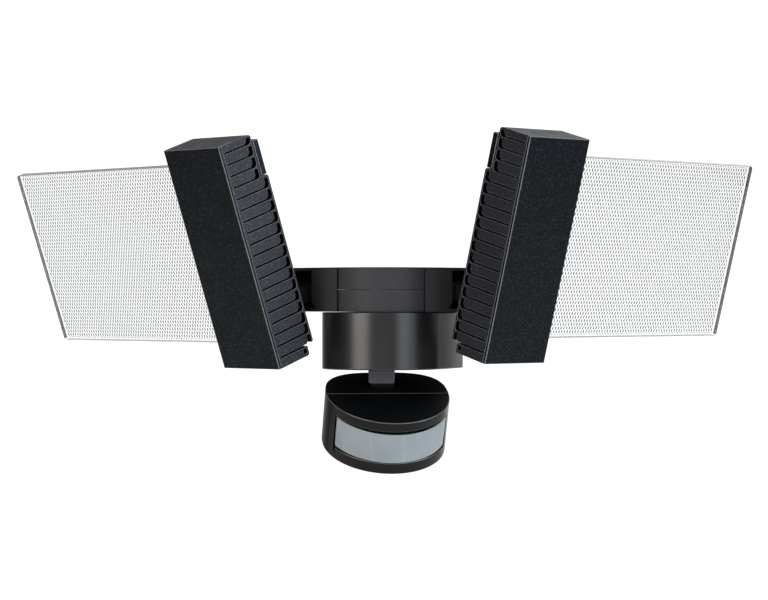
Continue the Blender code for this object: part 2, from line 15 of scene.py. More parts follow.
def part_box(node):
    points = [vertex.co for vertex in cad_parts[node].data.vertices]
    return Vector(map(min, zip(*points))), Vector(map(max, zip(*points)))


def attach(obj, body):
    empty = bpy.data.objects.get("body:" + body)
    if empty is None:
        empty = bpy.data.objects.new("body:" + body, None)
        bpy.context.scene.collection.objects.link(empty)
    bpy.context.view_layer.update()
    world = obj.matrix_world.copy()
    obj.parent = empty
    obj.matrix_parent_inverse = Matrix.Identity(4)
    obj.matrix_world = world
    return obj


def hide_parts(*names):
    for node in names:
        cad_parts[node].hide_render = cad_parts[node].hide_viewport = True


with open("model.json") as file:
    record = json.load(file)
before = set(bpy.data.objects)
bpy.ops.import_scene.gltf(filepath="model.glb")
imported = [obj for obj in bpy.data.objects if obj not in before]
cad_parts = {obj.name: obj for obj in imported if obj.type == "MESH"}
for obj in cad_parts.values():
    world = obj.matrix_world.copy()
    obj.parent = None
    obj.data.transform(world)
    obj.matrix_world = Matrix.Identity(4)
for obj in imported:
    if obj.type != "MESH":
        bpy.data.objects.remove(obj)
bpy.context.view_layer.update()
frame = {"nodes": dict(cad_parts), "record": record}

MM = 0.001
SCENE = bpy.context.scene
NODES = frame["nodes"]
JOINTS = {j["name"]: j for j in frame["record"]["behaviour"]["joints"]}

# The photograph's view: a long lens, level, a little to the right of the canopy's front.
VIEW_TURN = math.radians(21)
VIEW_DISTANCE = 2.352
VIEW_ASIDE = 1.4 * MM
VIEW_HEIGHT = 16 * MM
LENS_MM = 126.6
FLOOR_Z = -0.55
FLOOR_RADIUS = 2.5
# How bright the studio is round the object, by degrees from the camera, positive to its right.
STUDIO_RING = (
    (-180, 0.95), (-170, 0.60), (-150, 0.28), (-140, 0.04), (-110, 0.03), (-94, 0.05), (-60, 0.03),
    (60, 0.03), (87, 0.06), (104, 0.02), (138, 0.02), (149, 1.7), (156, 1.5), (165, 1.2), (180, 0.95))
# Between these heights, as shares of straight up, the ring fades to the ceiling's share of its level.
RING_FADE = (0.72, 0.85)
CEILING = 0.06
BACKDROP = 1.15
LIGHT_AIM = Vector((0, -0.07, 0))

BEVEL_ANGLE = math.radians(32)
SHARP_ANGLE = math.radians(35)
# How far a cutter runs past an outside wall, and past the casting's inner side.
PAST = 9 * MM
PROUD = 2 * MM

# The lamp casting: its rear steps back above and below the deep cells.
STEP_DEPTH = 7.7 * MM
STEP_FOOT = 9.5 * MM
STEP_ROUND = 2.2 * MM
STEP_CREASE = 0.6 * MM
TOP_ROUND = 2.6 * MM
STEP_CELLS = 3
CELL_COUNT = 20
CELL_PITCH = 10.1 * MM
CELL_FIRST = 7.1 * MM
CELL_RIM = 1.4 * MM
CELL_EDGE = 0.45 * MM
GROOVE = 1.7 * MM
GROOVE_DEPTH = 6 * MM
GROOVE_START = 1.6 * MM
# The slot behind each cell: its width, corners, height over the groove and the ramp down to it.
SLOT = 4.3 * MM
SLOT_ROUND = 1.2 * MM
SLOT_FOOT = 3 * MM
SLOT_FOOT_ROUND = 1.5 * MM
SLOT_RAMP = 2.2 * MM
TOP_SLOT_RIM = 2.0 * MM
END_SLOT_RIM = 2.4 * MM
END_SLOT_ROUND = 1.3 * MM
PANEL_CUT = 3 * MM
SEAL_GAP = 0.1 * MM

# The clear panels: corners, etched dots, plain border, and the width of the outer strip and rims.
PANEL_ROUND = 3 * MM
DOT_PITCH_X = 3.5 * MM
DOT_PITCH_Z = 6.6 * MM
DOT_RADIUS = (0.86 * MM, 1.65 * MM)
DOT_BORDER_X = 3 * MM
DOT_BORDER_Z = 1.8 * MM
PANEL_STRIP = 0.7 * MM

# The drum: its right side bulges a little. It is bored through its floor for the sensor's neck and
# through its top for the hinge post.
DRUM_WALL = 2.6 * MM
DRUM_EDGE = 1.1 * MM
SIDE_BULGE = 0.7 * MM
SIDE_STEPS = 12
LOW_BORE = 9 * MM
HIGH_BORE = 11.8 * MM
BORE_REACH = 5 * MM

# The sensor's neck, measured from the tilt pin: a face plate, a stem, a collar and a flange.
NECK_FACE_LEFT = -14.4 * MM
NECK_FACE_RIGHT = 8.6 * MM
NECK_FACE_BOTTOM = 6.6 * MM
NECK_FACE_FRONT = -8.1 * MM
NECK_FACE_DEPTH = 2.5 * MM
NECK_FACE_ROUND = 2.2 * MM
STEM_LEFT = -11.5 * MM
STEM_REAR = 1 * MM
STEM_SHOULDER = 5 * MM
STEM_BACK_TOP = 2 * MM
NECK_GAP = 0.4 * MM
NECK_OVERLAP = 0.1 * MM
COLLAR_RADIUS = 8.7 * MM
FLANGE_RADIUS = 13 * MM
FLANGE_THICK = 2 * MM

# The sensor's case: the well that the neck stands in, a notch that clears the collar as the head tilts,
# and the dials' bores.
CASE_WALL = 2.2 * MM
CASE_SEAM_LAP = 5 * MM
WINDOW_HALF = 64
WINDOW_GAP = 0.3 * MM
WELL_LEFT = NECK_FACE_LEFT - 0.6 * MM
WELL_RIGHT = 12 * MM
WELL_FRONT = -9.0 * MM
WELL_BOTTOM = -9.5 * MM
WELL_FACE_REAR = 1 * MM
WELL_STEM_LEFT = -12 * MM
WELL_STEM_REAR = 8.5 * MM
WELL_WALL = 1.8 * MM
WELL_SUNK = 0.8 * MM
NOTCH_HALF = 9.5 * MM
NOTCH_FRONT = 15 * MM
NOTCH_BOTTOM = 1 * MM
DIAL_ASIDE = 14 * MM
DIAL_FRONT = -2 * MM
DIAL_BORE = 5.3 * MM
DIAL_BORE_DEPTH = 10 * MM
BEAD = 0.4 * MM
BEAD_SUNK = 0.15 * MM


# ---------------------------------------------------------------- local frames

def axis_of(joint):
    return Vector(JOINTS[joint]["axis"]).normalized()


def place_of(joint):
    return Vector(JOINTS[joint]["pos_m"])


def basis(x, z, origin):
    """A placing matrix from an X and a Z direction."""
    y = z.cross(x).normalized()
    turned = Matrix((x, y, z)).transposed().to_4x4()
    return Matrix.Translation(origin) @ turned


def head_place(name):
    """The lamp head's frame: its tilt pin, X along the pin, Z up along the head."""
    x = axis_of(f"{name}_head_tilt")
    corners = [v.co.copy() for v in NODES[f"{name}_front_cover"].data.vertices]
    middle = sum(corners, Vector()) / len(corners)
    z = Vector()
    for corner in corners:
        across = corner - middle
        across -= x * across.dot(x)
        if across.z > 0:
            z += across
    return basis(x, z.normalized(), place_of(f"{name}_head_tilt"))


def local_box(node, place):
    """A node's lowest and highest corners in a local frame."""
    inverse = place.inverted()
    points = [inverse @ v.co for v in NODES[node].data.vertices]
    low = Vector(min(p[i] for p in points) for i in range(3))
    high = Vector(max(p[i] for p in points) for i in range(3))
    return low, high


# ---------------------------------------------------------------- materials

def node_tree(name):
    made = bpy.data.materials.new(name)
    made.use_nodes = True
    tree = made.node_tree
    return made, tree, tree.nodes["Principled BSDF"]


def noise(tree, scale, detail=3.0, roughness=0.5, stretch=(1, 1, 1)):
    """A noise in the piece's own coordinates; scale is in lumps per metre."""
    coords = tree.nodes.new("ShaderNodeTexCoord")
    mapping = tree.nodes.new("ShaderNodeMapping")
    mapping.inputs["Scale"].default_value = stretch
    made = tree.nodes.new("ShaderNodeTexNoise")
    made.inputs["Scale"].default_value = scale
    made.inputs["Detail"].default_value = detail
    made.inputs["Roughness"].default_value = roughness
    tree.links.new(coords.outputs["Object"], mapping.inputs["Vector"])
    tree.links.new(mapping.outputs["Vector"], made.inputs["Vector"])
    return made.outputs["Fac"]


def ramp(tree, value, low, high, low_at=0.35, high_at=0.65):
    made = tree.nodes.new("ShaderNodeValToRGB")
    made.color_ramp.elements[0].position = low_at
    made.color_ramp.elements[0].color = low
    made.color_ramp.elements[1].position = high_at
    made.color_ramp.elements[1].color = high
    tree.links.new(value, made.inputs["Fac"])
    return made.outputs["Color"]


def grey(value):
    return (value, value, value, 1.0)


def tint(colour, factor):
    return (*(min(c * factor, 1.0) for c in colour), 1.0)


def coated(name, colour, roughness, grain=900, bump=0.12, speckle=0.25, specular=0.5, specks=0.0,
           wear=0.06, gloss=(1.0, 1.0, 1.0)):
    """A moulded or powder-coated surface: a fine grain, slow colour drift, and faint handling wear.

    specular is its specular level, specks the level of its brightest grains, and gloss tints its highlights.
    """
    made, tree, shader = node_tree(name)
    fine = noise(tree, grain, 4.0, 0.6)
    slow = noise(tree, 14, 3.0)
    mottled = ramp(tree, fine, tint(colour, 1 - speckle), tint(colour, 1 + speckle))
    drift = ramp(tree, slow, grey(0.86), grey(1.0), 0.3, 0.7)
    drifted = blend(tree, 1.0, mottled, drift, "MULTIPLY")
    tree.links.new(drifted, shader.inputs["Base Color"])
    worn = noise(tree, 45, 5.0, 0.65)
    rough = ramp(tree, worn, grey(roughness - wear), grey(min(roughness + wear, 1.0)))
    tree.links.new(rough, shader.inputs["Roughness"])
    relief = tree.nodes.new("ShaderNodeBump")
    relief.inputs["Strength"].default_value = bump
    relief.inputs["Distance"].default_value = 0.0002
    tree.links.new(fine, relief.inputs["Height"])
    tree.links.new(relief.outputs["Normal"], shader.inputs["Normal"])
    shader.inputs["Specular IOR Level"].default_value = specular
    if specks:
        glints = ramp(tree, noise(tree, grain * 0.7, 1.0, 0.4), grey(specular), grey(specks), 0.58, 0.70)
        tree.links.new(glints, shader.inputs["Specular IOR Level"])
    shader.inputs["Specular Tint"].default_value = (*gloss, 1.0)
    return made


def metal(name, colour, roughness):
    """Bare or plated metal with drawn streaks and tarnish."""
    made, tree, shader = node_tree(name)
    streak = noise(tree, 220, 4.0, 0.6, (1, 1, 30))
    tarnish = noise(tree, 60, 4.0, 0.6)
    tarnished = ramp(tree, tarnish, tint(colour, 0.72), tint(colour, 1.06))
    tree.links.new(tarnished, shader.inputs["Base Color"])
    rough = ramp(tree, streak, grey(roughness - 0.08), grey(roughness + 0.12))
    tree.links.new(rough, shader.inputs["Roughness"])
    relief = tree.nodes.new("ShaderNodeBump")
    relief.inputs["Strength"].default_value = 0.08
    relief.inputs["Distance"].default_value = 0.0001
    tree.links.new(streak, relief.inputs["Height"])
    tree.links.new(relief.outputs["Normal"], shader.inputs["Normal"])
    shader.inputs["Metallic"].default_value = 1.0
    return made


def blend(tree, factor, first, second, mode="MIX"):
    """A colour mix; sockets are numbered, as the node shows several of each name."""
    made = tree.nodes.new("ShaderNodeMix")
    made.data_type = "RGBA"
    made.blend_type = mode
    for number, value in ((0, factor), (6, first), (7, second)):
        if isinstance(value, bpy.types.NodeSocket):
            tree.links.new(value, made.inputs[number])
        else:
            made.inputs[number].default_value = value
    return made.outputs[2]


def math_node(tree, operation, first, second=None):
    made = tree.nodes.new("ShaderNodeMath")
    made.operation = operation
    for socket, value in zip(made.inputs, (first, second)):
        if value is None:
            continue
        if isinstance(value, (int, float)):
            socket.default_value = value
        else:
            tree.links.new(value, socket)
    return made.outputs["Value"]


def dot_grid(tree, split):
    """1 inside small etched dots in staggered rows, 0 between them."""
    found = None
    for offset in (0.0, 0.5):
        away = []
        for axis, pitch, radius in (("X", DOT_PITCH_X, DOT_RADIUS[0]), ("Z", DOT_PITCH_Z, DOT_RADIUS[1])):
            steps = math_node(tree, "ADD", math_node(tree, "DIVIDE", split.outputs[axis], pitch), offset)
            centred = math_node(tree, "SUBTRACT", math_node(tree, "FRACT", steps), 0.5)
            scaled = math_node(tree, "MULTIPLY", centred, pitch / radius)
            away.append(math_node(tree, "MULTIPLY", scaled, scaled))
        distance = math_node(tree, "SQRT", math_node(tree, "ADD", *away))
        dots = math_node(tree, "LESS_THAN", distance, 1.0)
        found = dots if found is None else math_node(tree, "MAXIMUM", found, dots)
    return found


def within(tree, split, axis, low, high):
    """1 between two positions along an axis, 0 elsewhere."""
    above = math_node(tree, "GREATER_THAN", split.outputs[axis], low)
    below = math_node(tree, "LESS_THAN", split.outputs[axis], high)
    return math_node(tree, "MULTIPLY", above, below)


def object_axes(tree):
    """The piece's own coordinates, split into X, Y and Z."""
    coords = tree.nodes.new("ShaderNodeTexCoord")
    split = tree.nodes.new("ShaderNodeSeparateXYZ")
    tree.links.new(coords.outputs["Object"], split.inputs["Vector"])
    return split


def acrylic(name, low, high, side):
    """Clear sheet: polished, faintly scratched, with etched dots on its back inside a plain border.

    Its outer end is a dark matt strip, and its top and bottom edges are greyed.
    """
    made, tree, shader = node_tree(name)
    split = object_axes(tree)
    dots = dot_grid(tree, split)
    across = within(tree, split, "X", low.x + DOT_BORDER_X, high.x - DOT_BORDER_X)
    along = within(tree, split, "Z", low.z + DOT_BORDER_Z, high.z - DOT_BORDER_Z)
    inside = math_node(tree, "MULTIPLY", across, along)
    back = math_node(tree, "GREATER_THAN", split.outputs["Y"], (low.y + high.y) / 2)
    etched = math_node(tree, "MULTIPLY", dots, math_node(tree, "MULTIPLY", inside, back))
    strip = (high.x - PANEL_STRIP, 1.0) if side > 0 else (-1.0, low.x + PANEL_STRIP)
    end = within(tree, split, "X", *strip)
    middle = within(tree, split, "Z", low.z + PANEL_STRIP, high.z - PANEL_STRIP)
    rim = math_node(tree, "SUBTRACT", 1.0, middle)
    scratches = noise(tree, 90, 6.0, 0.7, (1, 1, 6))
    passed = math_node(tree, "SUBTRACT", 1.0, math_node(tree, "MULTIPLY", end, 0.8))
    tree.links.new(passed, shader.inputs["Transmission Weight"])
    shader.inputs["IOR"].default_value = 1.49
    shine = math_node(tree, "MULTIPLY", math_node(tree, "SUBTRACT", 1.0, end), 0.5)
    tree.links.new(shine, shader.inputs["Specular IOR Level"])
    clear = ramp(tree, scratches, (0.93, 0.95, 0.955, 1.0), (0.96, 0.97, 0.975, 1.0))
    tinted = blend(tree, end, blend(tree, rim, clear, (0.30, 0.31, 0.32, 1.0)), grey(0.06))
    tree.links.new(blend(tree, etched, tinted, grey(0.02)), shader.inputs["Base Color"])
    smooth = ramp(tree, scratches, grey(0.01), grey(0.05), 0.5, 0.75)
    matt = math_node(tree, "MAXIMUM", etched, end)
    tree.links.new(blend(tree, matt, smooth, grey(0.5)), shader.inputs["Roughness"])
    return made


def lens_plastic(name):
    """Milky polyethylene: soft sheen, faint facet lines moulded inside."""
    made, tree, shader = node_tree(name)
    split = object_axes(tree)
    ahead = math_node(tree, "MULTIPLY", split.outputs["Y"], -1.0)
    angle = math_node(tree, "ARCTAN2", split.outputs["X"], ahead)
    column = math_node(tree, "FRACT", math_node(tree, "MULTIPLY", angle, 4.6))
    aside = math_node(tree, "ABSOLUTE", math_node(tree, "SUBTRACT", column, 0.5))
    facet = math_node(tree, "LESS_THAN", aside, 0.018)
    cloud = noise(tree, 32, 3.0)
    base = ramp(tree, cloud, (0.155, 0.182, 0.200, 1.0), (0.188, 0.216, 0.234, 1.0), 0.3, 0.7)
    faint = math_node(tree, "MULTIPLY", facet, 0.6)
    tree.links.new(blend(tree, faint, base, (0.225, 0.25, 0.27, 1.0)), shader.inputs["Base Color"])
    rough = ramp(tree, noise(tree, 300, 3.0), grey(0.34), grey(0.46))
    tree.links.new(rough, shader.inputs["Roughness"])
    shader.inputs["Subsurface Weight"].default_value = 0.25
    shader.inputs["Subsurface Radius"].default_value = (0.004, 0.004, 0.004)
    shader.inputs["Subsurface Scale"].default_value = 0.5
    return made


def stage_white(name):
    """The floor's matt white, lit a little from within so that it stays pale."""
    made, _, shader = node_tree(name)
    shader.inputs["Base Color"].default_value = grey(0.50)
    shader.inputs["Emission Color"].default_value = grey(1.0)
    shader.inputs["Emission Strength"].default_value = 0.5
    shader.inputs["Roughness"].default_value = 0.9
    shader.inputs["Specular IOR Level"].default_value = 0.0
    return made


MATS = {
    "canopy": coated("canopy_black", (0.0042, 0.0042, 0.0046), 0.31, grain=1500, bump=0.03, speckle=0.2,
                     wear=0.01),
    "arm": coated("arm_black", (0.031, 0.031, 0.034), 0.48, grain=1500, bump=0.05, speckle=0.2, specular=0.09,
                  wear=0.02),
    "lamp": coated("lamp_black", (0.0076, 0.0083, 0.0104), 0.50, grain=900, bump=0.5, speckle=0.6,
                   specular=0.24, specks=0.7, gloss=(0.82, 0.89, 1.0)),
    "cover": coated("lamp_cover_black", (0.0006, 0.0009, 0.0012), 0.46, grain=1100, bump=0.5, speckle=0.5,
                    specular=0.12, specks=0.38, gloss=(0.66, 0.82, 1.0)),
    # Lighter, smoother finish for bevels: painted highlight, the thin light lines that the edges catch.
    "edge": coated("painted_highlight_edge", (0.085, 0.088, 0.096), 0.38, grain=1500, bump=0.1, speckle=0.3),
    "sensor": coated("sensor_black", (0.0016, 0.0019, 0.0023), 0.30, grain=1500, bump=0.04, speckle=0.2,
                     specular=0.18, wear=0.02),
    # Lighter finish for the sensor case's front bevel: painted highlight, the light line along its rim.
    "sensor_painted_highlight_edge": coated("sensor_painted_highlight_edge", (0.055, 0.056, 0.060), 0.25, grain=1500, bump=0.1, speckle=0.3),
    # Darker, rougher black: painted shade for the cells' grooves and slots, the knuckles between the arm's
    # plates, and the neck's stem, collar and flange.
    "painted_shade": coated("painted_shade_black", (0.0030, 0.0030, 0.0032), 0.60, grain=1500, bump=0.05, speckle=0.2,
                     specular=0.1),
    "neck": coated("neck_grey", (0.036, 0.0385, 0.047), 0.45, grain=1300, bump=0.08),
    "dial": coated("dial_grey", (0.06, 0.06, 0.065), 0.45, grain=1300, bump=0.08),
    "rubber": coated("black_rubber", (0.010, 0.010, 0.010), 0.85, grain=700, bump=0.3),
    "board": coated("circuit_board", (0.015, 0.12, 0.055), 0.35, grain=500, bump=0.1),
    "tape": coated("transformer_tape", (0.55, 0.42, 0.08), 0.5, grain=400, bump=0.1),
    "sleeve": coated("component_sleeve", (0.02, 0.03, 0.07), 0.35, grain=600, bump=0.05),
    "nylon": coated("terminal_nylon", (0.75, 0.75, 0.70), 0.5, grain=900, bump=0.1),
    "steel": metal("zinc_steel", (0.58, 0.58, 0.60), 0.36),
    "aluminium": metal("bare_aluminium", (0.72, 0.72, 0.74), 0.32),
    "lens": lens_plastic("lens_white"),
}


# ---------------------------------------------------------------- mesh helpers

def finish_piece(name, bm, place, finish, body, replaced=()):
    """Turn a bmesh in local coordinates into a placed piece that rides on a body."""
    bmesh.ops.recalc_face_normals(bm, faces=bm.faces)
    mesh = bpy.data.meshes.new(name)
    bm.to_mesh(mesh)
    bm.free()
    mesh.materials.append(finish)
    mesh.shade_smooth()
    mesh.set_sharp_from_angle(angle=SHARP_ANGLE)
    made = bpy.data.objects.new(name, mesh)
    SCENE.collection.objects.link(made)
    made.matrix_world = place
    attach(made, body)
    if replaced:
        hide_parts(*replaced)
    return made


def extrude_outline(bm, outline, low, high, to_point):
    """A prism: outline points (a, b) at two depths, mapped to 3-D by to_point(a, b, depth)."""
    rings = [[bm.verts.new(to_point(a, b, depth)) for a, b in outline] for depth in (low, high)]
    bm.faces.new(rings[0])
    bm.faces.new(list(reversed(rings[1])))
    count = len(outline)
    for n in range(count):
        m = (n + 1) % count
        bm.faces.new((rings[0][n], rings[1][n], rings[1][m], rings[0][m]))


def sideways(a, b, depth):
    """An outline in Y and Z, extruded along X."""
    return (depth, a, b)


def frontways(a, b, depth):
    """An outline in X and Z, extruded along Y."""
    return (a, depth, b)


def upright(a, b, depth):
    """An outline in X and Y, extruded along Z."""
    return (a, b, depth)


def round_corners(points, radii, steps=5):
    """Replace each corner of a closed outline by an arc of its own radius (0 leaves it sharp)."""
    made = []
    count = len(points)
    for n, point in enumerate(points):
        radius = radii[n] if isinstance(radii, (list, tuple)) else radii
        here = Vector(point)
        before, after = Vector(points[n - 1]) - here, Vector(points[(n + 1) % count]) - here
        if radius <= 0:
            made.append(tuple(here))
            continue
        half = before.angle(after) / 2
        reach = radius / math.tan(half)
        start, end = here + before.normalized() * reach, here + after.normalized() * reach
        centre = here + (before.normalized() + after.normalized()).normalized() * (radius / math.sin(half))
        first, last = start - centre, end - centre
        sweep = first.angle(last)
        turn = 1 if first.cross(last) > 0 else -1
        for k in range(steps + 1):
            angle = turn * sweep * k / steps
            c, s = math.cos(angle), math.sin(angle)
            made.append((centre.x + first.x * c - first.y * s, centre.y + first.x * s + first.y * c))
    return made


def apply_modifiers(made):
    """Bake an object's modifiers into its mesh."""
    bpy.context.view_layer.update()
    evaluated = made.evaluated_get(bpy.context.evaluated_depsgraph_get())
    mesh = bpy.data.meshes.new_from_object(evaluated)
    made.modifiers.clear()
    made.data = mesh
    return made


def bevel(made, width, segments=2, edge=None):
    """Round an object's sharp edges; edge is a finish for the rounding alone, used for lighter painted
    highlight lines along them.
    """
    change = made.modifiers.new("soft_edges", "BEVEL")
    change.width = width
    change.segments = segments
    change.limit_method = "ANGLE"
    change.angle_limit = BEVEL_ANGLE
    change.harden_normals = True
    if edge:
        made.data.materials.append(edge)
        change.material = len(made.data.materials) - 1


def soften_node(name, width, finish, segments=2, edge=None):
    """Round a CAD node's edges, with modifiers only, and give it its finish."""
    node = NODES[name]
    paint(name, finish)
    weld = node.modifiers.new("weld", "WELD")
    weld.merge_threshold = 0.00001
    flats = node.modifiers.new("flats", "DECIMATE")
    flats.decimate_type = "DISSOLVE"
    flats.angle_limit = math.radians(0.8)
    bevel(node, width, segments, edge)
    even_shading(node)


def even_shading(made):
    """Shade across the bevelled edges by the size of the faces that meet there."""
    made.modifiers["soft_edges"].harden_normals = False
    even = made.modifiers.new("even_shading", "WEIGHTED_NORMAL")
    even.keep_sharp = False
    even.weight = 100


def paint(name, finish):
    node = NODES[name]
    node.data.materials.clear()
    node.data.materials.append(finish)


# ---------------------------------------------------------------- lamp heads

def cell_cutter(bm, depths, bottom, front, back, slot_high):
    """One cell's dark groove: along the cell's lower edge, then up behind its rounded rear end."""
    half = GROOVE / 2
    points = [
        (front, bottom - half), (back, bottom - half), (back, slot_high), (back - SLOT, slot_high),
        (back - SLOT, bottom + SLOT_FOOT), (back - SLOT - SLOT_RAMP, bottom + half), (front, bottom + half)]
    radii = [half * 0.95, SLOT * 0.75, SLOT_ROUND, SLOT_ROUND, SLOT_FOOT_ROUND, 0, half * 0.95]
    extrude_outline(bm, round_corners(points, radii, 5), *depths, sideways)


def cut_cells(housing, side, place, low, high, front, shallow):
    """Cut the cells' grooves and slots into the casting's inner side."""
    inner = low.x if side > 0 else high.x
    depths = sorted((inner - side * PROUD, inner + side * GROOVE_DEPTH))
    cutters = bmesh.new()
    for n in range(CELL_COUNT - 1):
        line = high.z - CELL_FIRST - n * CELL_PITCH
        above = high.z if n == 0 else line + CELL_PITCH
        back = (shallow if n <= STEP_CELLS else high.y) - CELL_RIM
        slot_high = above - (GROOVE / 2 + CELL_RIM if n else TOP_SLOT_RIM)
        cell_cutter(cutters, depths, line, front + GROOVE_START, back, slot_high)
    end_low = low.z + END_SLOT_RIM
    end_high = line - GROOVE / 2 - CELL_RIM
    back = shallow - CELL_RIM
    end_slot = [(back - SLOT, end_low), (back, end_low), (back, end_high), (back - SLOT, end_high)]
    extrude_outline(cutters, round_corners(end_slot, END_SLOT_ROUND, 4), *depths, sideways)
    # The cut faces of the grooves and slots are lined with the painted-shade black.
    cut(housing, cutters, place, MATS["painted_shade"])


def cut_panel_slot(housing, name, side, place, half_width):
    """Cut the slot that the clear panel and its seal stand in."""
    low, high = local_box(f"{name}_panel_seal", place)
    x0, x1 = sorted((side * (half_width - PANEL_CUT), side * (half_width + PANEL_CUT)))
    slot = bmesh.new()
    add_box(slot, (x0, low.y - SEAL_GAP, low.z - SEAL_GAP), (x1, high.y + SEAL_GAP, high.z + SEAL_GAP))
    cut(housing, slot, place)


def make_housing(name, side, place):
    """The finned casting: stepped back, twenty cells on the inner side, bevelled edges."""
    low, high = local_box(f"{name}_lamp_housing", place)
    front = local_box(f"{name}_front_cover", place)[1].y
    shallow = high.y - STEP_DEPTH
    step_top = high.z - CELL_FIRST - STEP_CELLS * CELL_PITCH
    step_bottom = low.z + STEP_FOOT
    profile = [
        (front, low.z), (shallow, low.z), (shallow, step_bottom), (high.y, step_bottom),
        (high.y, step_top), (shallow, step_top), (shallow, high.z), (front, high.z)]
    radii = [0, STEP_ROUND, STEP_CREASE, STEP_ROUND, STEP_ROUND, STEP_CREASE, TOP_ROUND, 0]
    body = bmesh.new()
    extrude_outline(body, round_corners(profile, radii, 4), low.x, high.x, sideways)
    housing = finish_piece(
        f"{name}_finned_casting", body, place, MATS["lamp"], f"{name}_head",
        (f"{name}_lamp_housing",))
    cut_cells(housing, side, place, low, high, front, shallow)
    cut_panel_slot(housing, name, side, place, abs(low.x))
    # The bevels take the lighter edge finish: painted highlight lines along the cells and the casting's
    # edges.
    bevel(housing, CELL_EDGE, edge=MATS["edge"])
    even_shading(housing)


def add_box(bm, low, high):
    size = [h - l for l, h in zip(low, high)]
    middle = [(h + l) / 2 for l, h in zip(low, high)]
    bmesh.ops.create_cube(bm, size=1.0, matrix=Matrix.Translation(middle) @ Matrix.Diagonal((*size, 1.0)))


def cut(target, bm, place, lining=None):
    """Cut a bmesh's solids from a piece at once, leaving no cutter; lining is the cut faces' finish."""
    bmesh.ops.recalc_face_normals(bm, faces=bm.faces)
    mesh = bpy.data.meshes.new("cutter")
    bm.to_mesh(mesh)
    bm.free()
    cutter = bpy.data.objects.new("cutter", mesh)
    SCENE.collection.objects.link(cutter)
    cutter.matrix_world = place
    change = target.modifiers.new("cut", "BOOLEAN")
    change.operation = "DIFFERENCE"
    change.solver = "EXACT"
    change.object = cutter
    if lining:
        mesh.materials.append(lining)
        change.material_mode = "TRANSFER"
    apply_modifiers(target)
    bpy.data.objects.remove(cutter, do_unlink=True)
    return target


def make_front_cover(name, place):
    """The plain front slab, with a fine bevel all round in a lighter finish: a painted highlight along its
    edges.
    """
    low, high = local_box(f"{name}_front_cover", place)
    bm = bmesh.new()
    add_box(bm, low, high)
    slab = finish_piece(
        f"{name}_cover_slab", bm, place, MATS["cover"], f"{name}_head",
        (f"{name}_front_cover",))
    bevel(slab, 0.6 * MM, edge=MATS["edge"])
    even_shading(slab)


def make_panel(name, side, place):
    """The clear edge-lit sheet with rounded outer corners."""
    low, high = local_box(f"{name}_light_panel", place)
    inner, outer = (low.x, high.x) if side > 0 else (high.x, low.x)
    points = [(inner, low.z), (outer, low.z), (outer, high.z), (inner, high.z)]
    bm = bmesh.new()
    outline = round_corners(points, [0, PANEL_ROUND, PANEL_ROUND, 0], 6)
    extrude_outline(bm, outline, low.y, high.y, frontways)
    panel = finish_piece(
        f"{name}_clear_panel", bm, place, acrylic(f"{name}_clear_acrylic", low, high, side), f"{name}_head",
        (f"{name}_light_panel",))
    bevel(panel, 0.3 * MM)
    apply_modifiers(panel)


def make_head(name, side):
    place = head_place(name)
    make_housing(name, side, place)
    make_front_cover(name, place)
    make_panel(name, side, place)
    # The driver cover's bevels take the same lighter finish: painted highlight lines.
    soften_node(f"{name}_driver_cover", 0.8 * MM, MATS["cover"], 3, MATS["edge"])
    # The knuckle is in the painted-shade black: it sits in the shade between the arm's plates.
    soften_node(f"{name}_knuckle", 0.6 * MM, MATS["painted_shade"])
    paint(f"{name}_panel_seal", MATS["rubber"])
    paint(f"{name}_led_strip", MATS["board"])
    paint(f"{name}_heat_spreader", MATS["aluminium"])
    for n in (1, 2):
        soften_node(f"{name}_knuckle_screw_{n}", 0.3 * MM, MATS["steel"])


# ---------------------------------------------------------------- drum and sensor

def arc(centre, radius, start, end, steps):
    """Points along a circle, angles in degrees counter-clockwise from +X."""
    angles = [math.radians(start + (end - start) * n / steps) for n in range(steps + 1)]
    return [(centre[0] + radius * math.cos(a), centre[1] + radius * math.sin(a)) for a in angles]


def hollow(piece, outline, low, high, place):
    """Cut an upright prism out of a piece."""
    bm = bmesh.new()
    extrude_outline(bm, outline, low, high, upright)
    return cut(piece, bm, place)


def make_drum():
    """The canopy: a half-round drum, open at the back, with a flat left side and a nearly flat right one."""
    low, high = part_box("canopy_housing")
    post = place_of("left_arm_swivel")
    radius = (high[0] - low[0]) / 2
    back = high[1]
    place = Matrix.Identity(4)

    def plan(inset, rear):
        r = radius - inset
        side = [
            (r + SIDE_BULGE * math.sin(math.pi * n / SIDE_STEPS), post.y + (rear - post.y) * n / SIDE_STEPS)
            for n in range(1, SIDE_STEPS)]
        return arc((0, post.y), r, 180, 360, 64) + side + [(r, rear), (-r, rear)]

    bm = bmesh.new()
    extrude_outline(bm, plan(0, back), low[2], high[2], upright)
    drum = finish_piece("canopy_drum", bm, place, MATS["canopy"], "root", ("canopy_housing",))
    hollow(drum, plan(DRUM_WALL, back + PAST), low[2] + DRUM_WALL, high[2] - DRUM_WALL, place)
    for bore, z in ((LOW_BORE, low[2]), (HIGH_BORE, high[2])):
        hollow(drum, arc((0, post.y), bore, 0, 350, 35), z - BORE_REACH, z + BORE_REACH, place)
    bevel(drum, DRUM_EDGE, 4)
    even_shading(drum)


def sensor_place():
    """The sensor head's frame: its tilt pin, X along the pin, Z up through its top."""
    x = axis_of("sensor_tilt")
    normals = [p.normal.copy() * p.area for p in NODES["sensor_front_shell"].data.polygons
               if p.normal.z > 0.5 and abs(p.normal.dot(x)) < 0.01]
    return basis(x, sum(normals, Vector()).normalized(), place_of("sensor_tilt"))


